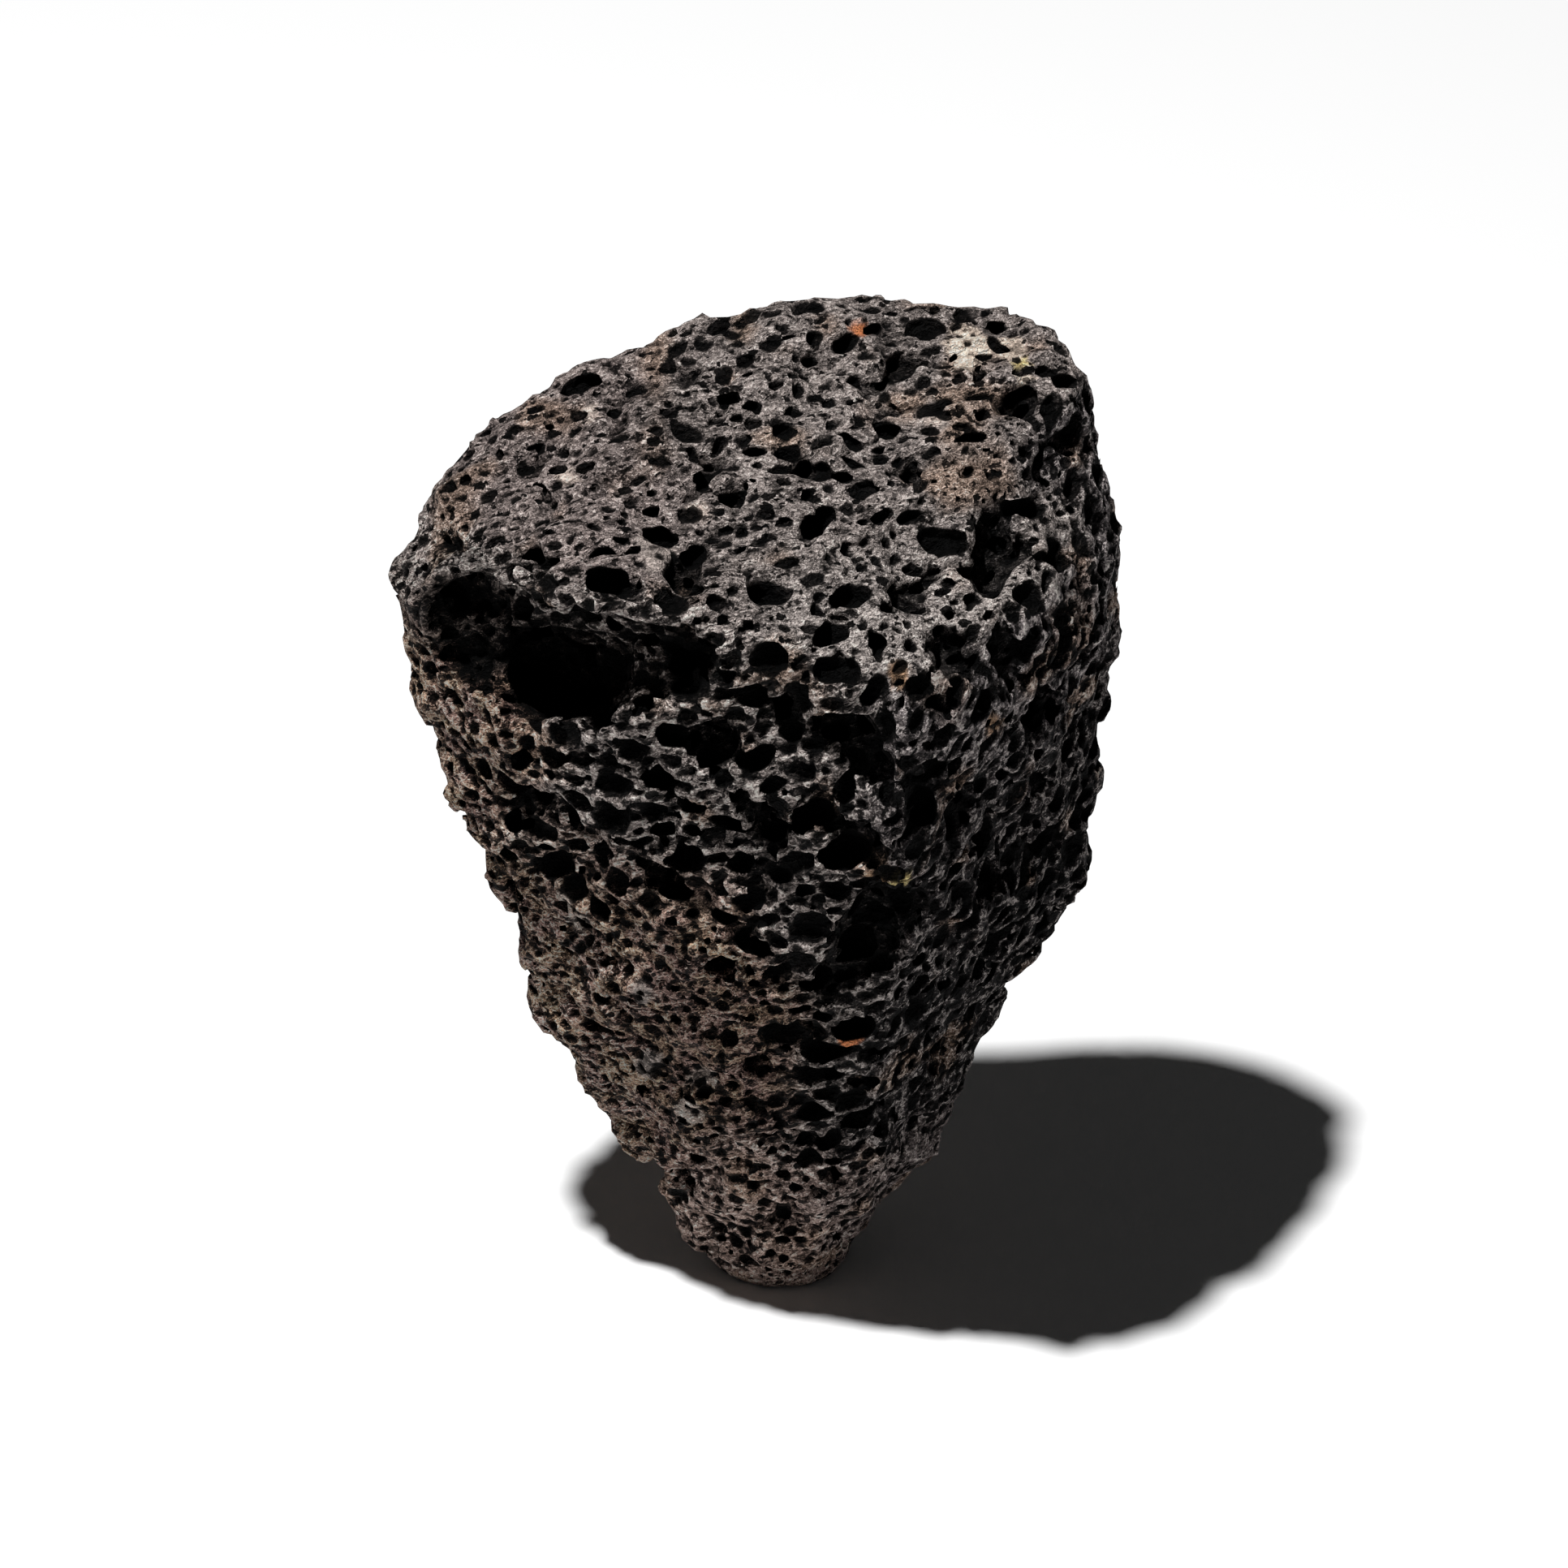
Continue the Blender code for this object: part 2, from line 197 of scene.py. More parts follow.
# What each kind of rock is like: the usual radius of its bubbles, how soon larger ones get rare, the
# share of the possible bubbles that are there, the least wall between them, how far they are drawn
# out, and how open its finer foam is.
KINDS = {
    "belt": {"usual": 1.7, "fall": 1.5, "share": 1.0, "wall": 0.20, "stretch": 1.3, "openness": 0.75},
    "crown": {"usual": 0.85, "fall": 1.05, "share": 0.17, "wall": 0.35, "stretch": 1.6, "openness": 0.15},
    "fine": {"usual": 0.65, "fall": 1.4, "share": 0.15, "wall": 0.35, "stretch": 1.4, "openness": 0.10},
    "foam": {"usual": 0.6, "fall": 2.4, "share": 0.42, "wall": 0.15, "stretch": 1.2, "openness": 1.0},
    "flank": {"usual": 1.0, "fall": 1.6, "share": 0.65, "wall": 0.15, "stretch": 1.5, "openness": 0.7},
    "nose": {"usual": 0.55, "fall": 1.9, "share": 0.42, "wall": 0.25, "stretch": 1.1, "openness": 0.45},
}


class Regions:
    """How much of each kind of rock there is at each point; the kinds add up to 1."""

    def __init__(self, points, up):
        x, _, z = points.T
        wander = noise(points, WANDER_SIZE, SEED + 50)

        def past(value, start, complete, by):
            return smoothstep(start, complete, value + by * wander)

        crown = past(up, *CROWN_RISES) * past(z, *CROWN_HEIGHTS)
        fine = past(np.linalg.norm((points - FINE_MIDDLE) * FINE_SHAPE, axis=1), *FINE_REACH)
        nose = past(z, *NOSE_HEIGHTS) * past(x - NOSE_LEAN * z + NOSE_SHIFT, *NOSE_EDGE)
        flank = past(x, *FLANK_EDGE)
        foam = np.maximum(past(z, *FOAM_HEIGHTS) * past(x, *FOAM_EDGE), past(x, *FOAM_LEFT_EDGE))
        self.kinds = {"fine": crown * fine, "crown": crown * (1 - fine)}
        rest = 1 - crown
        for name, part in (("nose", nose), ("flank", flank), ("foam", foam)):
            self.kinds[name] = rest * part
            rest = rest * (1 - part)
        self.kinds["belt"] = rest

    def of(self, name):
        return self.kinds[name]

    def mixed(self, quality):
        """One of the qualities of the kinds, as it is at each point."""
        return sum(part * KINDS[name][quality] for name, part in self.kinds.items())


# ---------------------------------------------------------------- gas bubbles

BOX_LOW = (-60, -45, 0)
BOX_HIGH = (53, 46, 158)
FOOT_CLEAR = 1.2

# Radii of the bubbles, and how many places are tried for each size in a cube with its radius as edge.
RADII = np.geomspace(3.2, 0.55, 16)
TRIALS = 0.55

# Limits as shares of the radius: how far a middle lies above or below the surface, and the room that
# a bubble needs around its middle.
ABOVE_SURFACE = 0.05
BELOW_SURFACE = 0.85
ROOM = 0.85

# Bubbles stand in loose clusters. Few large ones are left along the outline seen from the front.
CLUSTER_SIZE = 13
CLUSTERING = 0.7
LARGE_RADII = (0.8, 1.4)
NEAR_OUTLINE = (0.42, 0.22)
MISSING_THERE = 0.9

# How much one bubble differs from the next: its length, its widths, its tilt out of the flow, and how
# much it thins as it gets longer.
LENGTHS = (0.85, 1.2)
WIDTHS = (0.75, 1.05)
TILT = 0.22
THINNING = 0.4

# Slits seen in the view plane: across and above their middles, angle, length and width.
SLITS = [(31.6, 64.5, -0.6, 5.4, 1.7)]

# How far past its reach a bubble is stamped, and a number that keeps its middle off zero.
STAMP_MARGIN = 0.6
TINY = 1e-6


def turned(direction, dice):
    """A rotation whose first axis is near direction and whose others are at random."""
    first = np.array(direction) + dice.normal(0, TILT, 3)
    first /= np.linalg.norm(first)
    second = np.cross(first, dice.normal(0, 1, 3))
    second /= np.linalg.norm(second)
    return np.stack([first, second, np.cross(first, second)])


def candidates(number, radius):
    """Places all through the box for bubbles of one size, with two rolls of the dice for each."""
    size = np.subtract(BOX_HIGH, BOX_LOW)
    draws = np.random.default_rng(SEED + number).uniform(size=(int(TRIALS * size.prod() / radius**3), 5))
    return BOX_LOW + draws[:, :3] * size, draws[:, 3], draws[:, 4]


def take_bubbles(grid, surface, envelope):
    """A field of the distance to the nearest bubble, packed along the surface, large ones first."""
    clear = np.full(grid.shape, FAR, np.float32)
    take_slits(grid, surface, clear)
    for number, radius in enumerate(RADII):
        places, chance, turn = candidates(number, radius)
        level = surface[grid.index(places)]
        near = (level < ABOVE_SURFACE * radius) & (level > -BELOW_SURFACE * radius)
        near &= places[:, 2] > FOOT_CLEAR + radius
        places, chance, turn = places[near], chance[near], turn[near]
        here = Regions(places, envelope.rise(places))
        share = share_of_bubbles(places, radius, here, envelope)
        room = ROOM * radius + here.mixed("wall")
        stretch = here.mixed("stretch")
        cells = grid.index(places)
        for i in np.flatnonzero((chance < share) & (clear[cells] > room)):
            if clear[cells[0][i], cells[1][i], cells[2][i]] < room[i]:
                continue
            dice = np.random.default_rng([number, i])
            flow = FLANK_FLOW if turn[i] < here.of("flank")[i] else FLOW
            halves = half_axes(radius, stretch[i], dice)
            stamp(grid, clear, places[i], turned(flow, dice), halves, radius)
    return clear


def take_slits(grid, surface, clear):
    """The slits taken out where they are seen from the front."""
    for across, above, angle, length, width in SLITS:
        place, aim = sight(grid, surface, across, above)
        first = Vector((math.cos(angle), 0, 0)) + EYE_UP * math.sin(angle)
        turn = np.stack([first, np.cross(aim, first), aim])
        stamp(grid, clear, place, turn, np.array([length, width, 2 * width]) / 2, width)


def share_of_bubbles(places, radius, here, envelope):
    """Which share of the possible bubbles of one size there is at each place."""
    excess = np.maximum(radius / here.mixed("usual") - 1, 0)
    share = here.mixed("share") * np.exp(-here.mixed("fall") * excess)
    share *= 1 + CLUSTERING * noise(places, CLUSTER_SIZE, SEED + 10)
    large = smoothstep(*LARGE_RADII, radius)
    share *= 1 - MISSING_THERE * large * smoothstep(*NEAR_OUTLINE, envelope.facing(places))
    return share


def half_axes(radius, stretch, dice):
    """The half axes of one bubble, the first of them along the flow."""
    long = stretch * dice.uniform(*LENGTHS)
    return radius * np.array([long, dice.uniform(*WIDTHS), dice.uniform(*WIDTHS)]) / long**THINNING


def stamp(grid, clear, place, turn, halves, reach):
    """Lowers the field to the distance from one ellipsoid, out to reach beyond it."""
    extent = halves.max() + reach + STAMP_MARGIN
    low = np.maximum(np.floor((place - extent) / grid.cell).astype(int) - grid.low, 0)
    high = np.minimum(np.ceil((place + extent) / grid.cell).astype(int) - grid.low + 1, grid.shape)
    axes = [(np.arange(a, b) + o) * grid.cell - p for a, b, o, p in zip(low, high, grid.low, place)]
    x, y, z = np.ix_(*axes)
    scaled = [(x * t[0] + y * t[1] + z * t[2]) / h for t, h in zip(turn, halves)]
    rho = np.sqrt(sum(s * s for s in scaled)) + TINY
    slope = np.sqrt(sum((s / h) ** 2 for s, h in zip(scaled, halves))) + TINY
    block = clear[low[0]:high[0], low[1]:high[1], low[2]:high[2]]
    np.minimum(block, (rho - 1) * rho / slope, out=block)


# ---------------------------------------------------------------- meshes


def mesh_arrays(obj):
    """The points of a mesh in millimetres, and its triangles."""
    mesh = obj.data
    mesh.calc_loop_triangles()
    points = np.empty(len(mesh.vertices) * 3, np.float32)
    mesh.vertices.foreach_get("co", points)
    triangles = np.empty(len(mesh.loop_triangles) * 3, np.int32)
    mesh.loop_triangles.foreach_get("vertices", triangles)
    return points.reshape(-1, 3) / MM, triangles.reshape(-1, 3).astype(np.uint32)


def largest_shell(points, quads):
    """The points and quads of the largest connected surface."""
    label = np.arange(len(points))
    pairs = np.concatenate([quads[:, [0, 1]], quads[:, [1, 2]], quads[:, [2, 3]], quads[:, [3, 0]]])
    while True:
        least = label.copy()
        np.minimum.at(least, pairs[:, 0], label[pairs[:, 1]])
        np.minimum.at(least, pairs[:, 1], label[pairs[:, 0]])
        least = least[least]
        least = least[least]
        if np.array_equal(least, label):
            break
        label = least
    keep = label == np.bincount(label).argmax()
    index = np.cumsum(keep) - 1
    return points[keep], index[quads[keep[quads[:, 0]]]]


def mesh_object(name, points, quads):
    mesh = bpy.data.meshes.new(name)
    mesh.vertices.add(len(points))
    mesh.vertices.foreach_set("co", (points * MM).astype(np.float32).ravel())
    mesh.loops.add(4 * len(quads))
    mesh.loops.foreach_set("vertex_index", quads.astype(np.int32).ravel())
    mesh.polygons.add(len(quads))
    mesh.polygons.foreach_set("loop_start", np.arange(0, 4 * len(quads), 4, dtype=np.int32))
    mesh.update(calc_edges=True)
    obj = bpy.data.objects.new(name, mesh)
    bpy.context.scene.collection.objects.link(obj)
    return obj


def thinned(obj, triangles):
    """The object with about that many triangles."""
    thin = obj.modifiers.new("thin", "DECIMATE")
    thin.ratio = triangles / (2 * len(obj.data.polygons))
    graph = bpy.context.evaluated_depsgraph_get()
    mesh = bpy.data.meshes.new_from_object(obj.evaluated_get(graph))
    obj.modifiers.clear()
    obj.data = mesh
    return obj


def attribute(obj, name, values):
    obj.data.attributes.new(name, "FLOAT", "POINT").data.foreach_set("value", values.astype(np.float32))


def colour_attribute(obj, name, colours):
    full = np.ones((len(colours), 4), np.float32)
    full[:, :3] = colours
    obj.data.attributes.new(name, "FLOAT_COLOR", "POINT").data.foreach_set("color", full.ravel())


# ---------------------------------------------------------------- the stone's surface

# The lid spans hollows up to about twice this width, and the skin is blurred by this much.
LID_SPAN = 6.0
SKIN_BLUR = 3.2

# Wear: how round the edges get, how deep the noises reach, and how far above the floor they start.
EDGE_WEAR = 0.7
WEAR_DEPTH = 4.5
OFF_FOOT = (0.3, 5)

# The noises of the worn surface: how far each moves it or raises it, and the size of its lumps.
SHIFTS = [(0.7, 4.0), (0.4, 1.6)]
ROUGHENING = [(0.32, 7.0), (0.26, 3.1), (0.20, 1.5)]

# The surface is rougher low on the left, and in the hollows, where it is also bent further.
ROUGH_HEIGHTS = (100, 75)
ROUGH_EDGE = (10, -10)
ROUGHER_THERE = 0.45
HOLLOW_DEPTHS = (0.1, 1.6)
ROUGHER_IN_HOLLOWS = 1.3
SHIFTED_IN_HOLLOWS = 0.5

# The layers of the crown.
LAYERS_FROM = 118
LAYERS_FADE = 12
LAYER_SIZE = 4.2
LAYER_HEIGHT = 0.45
LAYER_SHARPNESS = 2.4
LAYER_STRETCH = 3.2

# The walls of the bubbles: how far from them the noises reach, their shifts and their grain.
WALL_REACH = 1.8
WALL_ABOVE = 1.2
WALL_BELOW = 5.5
WALL_SHIFTS = [(0.65, 2.6), (0.28, 1.1)]
WALL_GRAIN = (0.08, 0.9)

# The last softening of the surface, in cells, and the greatest depths that the material is told.
SOFTENING = 0.5
MOST_HOLLOW = 8
DEEPEST_PIT = 4


class Envelope:
    """The stone on a coarse grid: a smooth skin drawn over it, and a lid that spans its hollows."""

    def __init__(self, points, triangles):
        self.grid = Grid(points, COARSE_VOXEL, 2 * LID_SPAN)
        field = self.grid.signed_distance(points, triangles, 2 * LID_SPAN)
        swollen, quads = self.grid.polygons(field - LID_SPAN)
        halves = np.concatenate([quads[:, [0, 1, 2]], quads[:, [0, 2, 3]]])
        self.lid = self.grid.signed_distance(swollen, halves, 4 * LID_SPAN) + LID_SPAN
        skin = blurred(field, SKIN_BLUR / COARSE_VOXEL)
        self.slopes = [slope.astype(np.float32) for slope in np.gradient(skin, COARSE_VOXEL)]

    def hollow(self, points):
        """How deep under the lid each point lies."""
        return -self.grid.sample(self.lid, points)

    def rise(self, points):
        """How far the skin looks up at each point, from -1 to 1."""
        return self.grid.sample(self.slopes[2], points)

    def facing(self, points):
        """How squarely the skin is seen from the front at each point: 0 along the outline."""
        parts = [self.grid.sample(slope, points) * part for slope, part in zip(self.slopes, EYE_BACK)]
        return np.abs(sum(parts))


def summed(noises, places, seed, parts=None):
    """The sum of several noises, each given as its strength and size."""
    return sum(
        strength * noise(places, size, seed + number, parts)
        for number, (strength, size) in enumerate(noises)
    )


def weathered(grid, body, envelope):
    """The body's facets and pits worn and frayed and its skin made rough, apart from the foot."""
    body = blurred(body, EDGE_WEAR / grid.cell)
    band = np.argwhere(np.abs(body) < WEAR_DEPTH)
    places = grid.place(band)
    off_foot = smoothstep(*OFF_FOOT, places[:, 2])
    shift = summed(SHIFTS, places, SEED + 8, 3)
    rough = summed(ROUGHENING, places, SEED + 1)
    low_left = smoothstep(*ROUGH_HEIGHTS, places[:, 2]) * smoothstep(*ROUGH_EDGE, places[:, 0])
    hollow = smoothstep(*HOLLOW_DEPTHS, envelope.hollow(places))
    rough *= 1 + ROUGHER_THERE * low_left
    rough *= 1 + ROUGHER_IN_HOLLOWS * hollow
    shift *= 1 + SHIFTED_IN_HOLLOWS * hollow[:, None]
    high = places[:, 2] > LAYERS_FROM
    rough[high] += layers(places[high])
    body[tuple(band.T)] = grid.sample(body, places + off_foot[:, None] * shift) + off_foot * rough
    return body


def layers(places):
    """The thin broken layers of the crown, drawn out along the flow."""
    flow = np.array(FLOW.normalized(), np.float32)
    along = places @ flow
    drawn = places - along[:, None] * flow * (1 - 1 / LAYER_STRETCH)
    ridges = 1 - LAYER_SHARPNESS * np.abs(noise(drawn, LAYER_SIZE, SEED + 7))
    return -LAYER_HEIGHT * ridges * smoothstep(LAYERS_FROM, LAYERS_FROM + LAYERS_FADE, places[:, 2])


def frayed(grid, clear, body):
    """The bubbles' field with their round walls bent and frayed."""
    by_wall = (clear < WALL_REACH) & (clear > -WALL_REACH)
    cells = np.argwhere(by_wall & (body < WALL_ABOVE) & (body > -WALL_BELOW))
    places = grid.place(cells)
    shift = summed(WALL_SHIFTS, places, SEED + 4, 3)
    result = clear.copy()
    result[tuple(cells.T)] = grid.sample(clear, places + shift) + summed([WALL_GRAIN], places, SEED + 6)
    return result


def carved(grid, body, envelope):
    """The body's surface without its bubbles, cut flat at the floor."""
    clear = take_bubbles(grid, body, envelope)
    solid = np.maximum(body, -frayed(grid, clear, body))
    solid = blurred(solid, SOFTENING)
    heights = (np.arange(grid.shape[2]) + grid.low[2]) * np.float32(grid.cell)
    points, quads = grid.polygons(np.maximum(solid, -heights))
    return largest_shell(points, quads)


def stone(node):
    """The dressed stone, with all that its material has to know at each point."""
    points, triangles = mesh_arrays(node)
    envelope = Envelope(points, triangles)
    grid = Grid(points, VOXEL, MARGIN)
    body = weathered(grid, grid.signed_distance(points, triangles, FAR), envelope)
    rock = thinned(mesh_object("stone", *carved(grid, body, envelope)), TRIANGLES)
    rock.data.shade_smooth()
    rock.data.set_sharp_from_angle(angle=math.radians(SHARP_DEGREES))
    points, _ = mesh_arrays(rock)
    here = Regions(points, envelope.rise(points))
    attribute(rock, "hollow", np.clip(envelope.hollow(points), 0, MOST_HOLLOW))
    attribute(rock, "pit", np.clip(-grid.sample(body, points), 0, DEEPEST_PIT))
    attribute(rock, "openness", here.mixed("openness"))
    attribute(rock, "flank", here.of("flank"))
    colours, patch = tints(points, here, grid, body)
    colour_attribute(rock, "tint", colours)
    attribute(rock, "patch", patch)
    return rock


# ---------------------------------------------------------------- colours

GREY = (0.144, 0.122, 0.113)
RUSTY = (0.175, 0.128, 0.120)
WARM = (0.236, 0.150, 0.101)
COOL = (0.092, 0.080, 0.080)
# Painted shade, for the right side away from the lamp.
PAINTED_SHADE = (0.030, 0.025, 0.025)
# A painted sheen.
PAINTED_SHEEN = (0.250, 0.220, 0.205)
ROSY = (0.180, 0.126, 0.106)
PINK = (0.210, 0.130, 0.110)
BEIGE = (0.62, 0.50, 0.41)
CREAM = (0.58, 0.47, 0.41)
PALE = (0.32, 0.27, 0.245)
TAN = (0.34, 0.21, 0.13)
ORANGE = (0.50, 0.17, 0.07)
YELLOW = (0.46, 0.36, 0.16)

# Where the colours lie: heights, places across the stone, values of a noise, and for the painted shadow
# and the patches the distance from their middles as a share of the radius.
UNDER_CROWN = (128, 108)
RUSTY_EDGE = (-8, -26)
SHADED_NOSE_EDGE = (0, 18)
SHADED_NOSE_HEIGHTS = (22, 42)
SHADED_HEIGHTS = (124, 98)
SHADED_EDGE = (14, 32)
SHEEN_HEIGHTS = (144, 130)
SHEEN_EDGE = (-8, 4)
PINK_SPOTS = (-0.5, 0.5)
STAINS = (0.25, 0.7)
# Painted shade low in the middle of the front: its heights and edge.
LOW_SHADE_TOP = (78, 66)
LOW_SHADE_FOOT = (28, 42)
LOW_SHADE_EDGE = (-26, -14)
BROW_SHADOW_EDGE = (1.1, 0.75)
PATCH_EDGE = (1.05, 0.8)

# Painted shadow of the brow in the recess under it: places in the view plane and radii.
BROW_SHADOW_SPOTS = [((-50, 26.5), 5), ((-43, 22), 7.5), ((-33, 17.5), 8.5), ((-23, 17), 7), ((-14, 18), 4.5)]
PAINTED_SHADOW = (0.030, 0.023, 0.020)

# Mineral patches, and a tan and yellow pair that is a painted glint: where each is seen in the view
# plane (across and above its middle), its radius and its colour.
PATCHES = [
    ((27.2, 64.1), 3.3, BEIGE),
    ((33, 63.6), 1.8, BEIGE),
    ((35, 59.4), 1.0, BEIGE),
    ((21, 53.4), 0.7, YELLOW),
    ((34.5, 61.5), 0.8, YELLOW),
    ((11, 66.5), 1.3, ORANGE),
    ((-32, 45), 1.4, CREAM),
    ((-29, 54.5), 1.1, CREAM),
    ((-13, 40), 1.5, CREAM),
    ((-19, 34), 2.6, PALE),
    ((22, 54), 2.6, PALE),
    ((22, 53.6), 0.9, CREAM),
    ((-32, -17), 1.6, CREAM),
    ((-30, -20), 1.8, CREAM),
    ((-12, -43), 1.8, CREAM),
    ((-14, -48), 2.1, CREAM),
    ((-21, -31), 1.8, PALE),
    ((-20, -41), 2.4, PALE),
    # A painted glint, tan and yellow.
    ((13.5, -14), 1.7, TAN),
    ((17, -14.5), 1.7, YELLOW),
    ((17, 16), 1.7, TAN),
    ((9.5, -37.5), 1.3, ORANGE),
    ((31, 8.5), 1.5, TAN),
    ((46, 1.5), 0.6, CREAM),
]

# A line of sight is searched for the skin from this far in front of the view plane to behind it.
SIGHT_FRONT = 120
SIGHT_BEHIND = 60


def sight(grid, body, across, above):
    """Where the body's skin is met by the line of sight through a place of the view plane, and its aim."""
    eye = np.array(EYE_TARGET + EYE_BACK * EYE_DISTANCE)
    aim = np.array(EYE_TARGET + Vector((across, 0, 0)) + EYE_UP * above) - eye
    aim /= np.linalg.norm(aim)
    steps = np.arange(EYE_DISTANCE - SIGHT_FRONT, EYE_DISTANCE + SIGHT_BEHIND, grid.cell / 2)
    line = eye + steps[:, None] * aim
    return line[np.argmax(grid.sample(body, line) < 0)], aim


def from_spot(grid, body, points, place, radius):
    """How far each point is from the line of sight through a place, as a share of radius."""
    spot, aim = sight(grid, body, *place)
    depth = (points - spot) @ aim
    away = np.linalg.norm(points - spot - depth[:, None] * aim, axis=1) / radius
    return away + smoothstep(radius, 3 * radius, np.abs(depth))


def mixed(colours, colour, weight):
    return colours + (np.array(colour) - colours) * weight[:, None]


def wander(points, by, size, seed):
    """A noise that moves an edge, or is one, up to that far both ways."""
    return by * noise(points, size, SEED + seed)


def washes(points, here):
    """The colours laid over the grey one after another, each with its weight at each point."""
    x, _, z = points.T
    on_top = here.of("fine") + here.of("crown")
    rusty = on_top * smoothstep(*RUSTY_EDGE, x + wander(points, by=8, size=12, seed=20))
    # Painted shade on the nose's right side, away from the lamp: the flank's cool grey, darker higher up.
    shaded_nose = here.of("nose") * smoothstep(*SHADED_NOSE_EDGE, x + wander(points, by=6, size=7, seed=31))
    # Painted shade on the flank below the crown.
    shaded = smoothstep(*SHADED_HEIGHTS, z + wander(points, by=8, size=14, seed=25))
    pink = smoothstep(*PINK_SPOTS, wander(points, by=1, size=2.4, seed=26))
    # A painted sheen on the lower front of the crown.
    painted_sheen = here.of("crown") * smoothstep(*SHEEN_HEIGHTS, z) * smoothstep(*SHEEN_EDGE, x)
    yield RUSTY, 0.3 * rusty
    yield WARM, here.of("foam") * smoothstep(*UNDER_CROWN, z + wander(points, by=5, size=12, seed=30))
    yield ROSY, here.of("nose")
    yield COOL, here.of("flank")
    # Painted shade on the nose's right side.
    yield COOL, 0.8 * shaded_nose
    yield PAINTED_SHADE, 0.8 * shaded_nose * smoothstep(*SHADED_NOSE_HEIGHTS, z)
    yield PAINTED_SHADE, here.of("flank") * shaded
    yield PINK, pink * here.of("foam") * smoothstep(*UNDER_CROWN, z)
    yield WARM, 0.5 * smoothstep(*STAINS, wander(points, by=1, size=6, seed=21))
    yield PAINTED_SHEEN, 0.8 * painted_sheen


def brightness(points, here):
    """How much lighter or darker than its wash each point is, as factors to be used in turn, the last two
    painted shade.
    """
    x, _, z = points.T
    # Painted shade on the low right side, away from the lamp.
    right = smoothstep(*SHADED_EDGE, x + wander(points, by=5, size=12, seed=29))
    # Painted shade low in the middle of the front.
    low_shade = smoothstep(*LOW_SHADE_TOP, z) * smoothstep(*LOW_SHADE_FOOT, z)
    low_shade = low_shade * smoothstep(*LOW_SHADE_EDGE, x + wander(points, by=5, size=12, seed=28))
    yield 1 + wander(points, by=0.22, size=9, seed=22) + wander(points, by=0.15, size=3, seed=23)
    yield 1 - 0.10 * here.of("fine")
    # Painted shade: the low right side, then the low middle of the front.
    yield 1 - 0.2 * (right * smoothstep(*SHADED_HEIGHTS, z))
    yield 1 - 0.4 * low_shade


def brow_shadow(points, grid, body):
    """How much painted shadow there is at each point, in the recess under the brow."""
    dark = np.zeros(len(points))
    ragged = wander(points, by=0.25, size=4, seed=27)
    for place, radius in BROW_SHADOW_SPOTS:
        away = from_spot(grid, body, points, place, radius) + ragged
        dark = np.maximum(dark, smoothstep(*BROW_SHADOW_EDGE, away))
    return dark


def tints(points, here, grid, body):
    """The colour at each point, before pores and grain: the rock's with painted shade, shadow and sheen
    laid on, and its mineral patches and one painted glint; and how far it is patch.
    """
    colours = np.tile(np.array(GREY), (len(points), 1))
    for colour, weight in washes(points, here):
        colours = mixed(colours, colour, weight)
    for factor in brightness(points, here):
        colours *= factor[:, None]
    # Painted shadow of the brow in the recess under it.
    colours = mixed(colours, PAINTED_SHADOW, brow_shadow(points, grid, body))
    ragged = wander(points, by=0.35, size=1.8, seed=24)
    patch = np.zeros(len(points))
    for place, radius, colour in PATCHES:
        away = from_spot(grid, body, points, place, radius) + ragged
        part = smoothstep(*PATCH_EDGE, away)
        colours = mixed(colours, colour, part)
        patch = np.maximum(patch, part)
    return colours, patch


# ---------------------------------------------------------------- material

# The places of the textures: how far they are drawn out along the flow, and bent, from dense rock to
# open foam.
STRETCH = 1.6
FLANK_STRETCH = 1.4
STREAK_STRETCH = 2.0
BEND_SIZE = 0.8
BENDS = (1.3, 0.8)

# Sizes of the cells between thin walls, in the belt and in the foam, and of the other textures.
WIDE_CELLS = (2.4, 0.85)
NARROW_CELLS = (1.0, 0.42)
FOAMY = (0.78, 0.98)
WALL_FALL = -13.0
LUMP_SIZE = 3.2
CRUMB_SIZE = 1.3
STREAK_SIZE = 0.55
FINE_SIZE = 0.32
GRAIN_SIZE = 0.17
GAP_LIMITS = (0.37, 0.46)
GAP_EDGE = 0.03

# Loose pores: the size of the cells that hold one each, the widest radius in cells, the share missing.
LARGE_PORES = (2.2, 0.38, 0.38)
SMALL_PORES = (1.0, 0.36, 0.40)
SMALLEST_PORE = 0.03
PORE_EDGE = (0.02, -0.03)
RIM_EDGE = (0.12, 0.03)

# How light the rock gets. Depths paint shade into pits and hollows, a mineral's exponent is lower by
# its drop, and the gain levels off. The lightest shades turn to a light grey, a painted highlight, by
# these shares in dense rock and in foam, and no colour is lighter than the last.
PIT_DEPTHS = (0.06, 0.55)
HOLLOWS = (0.6, 2.6)
MINERAL_DROP = 0.55
GAIN = 2.6
LEVELLING = 0.25
HIGHLIGHT_GREY = (0.135, 0.122, 0.115, 1)
LIGHT_SHADES = (1.5, 5.0)
LIGHT_SHARES = (0.45, 0.1)
LIGHTEST = (0.8, 0.76, 0.7)
ROCK_ROUGHNESS = 0.75
ROCK_SPECULAR = 0.08

# Outputs of nodes that are known by their number.
ATTRIBUTE_COLOUR = 0
ATTRIBUTE_NUMBER = 2
NOISE_COLOUR = 1
MIXED_VECTOR = 1
MIXED_COLOUR = 2


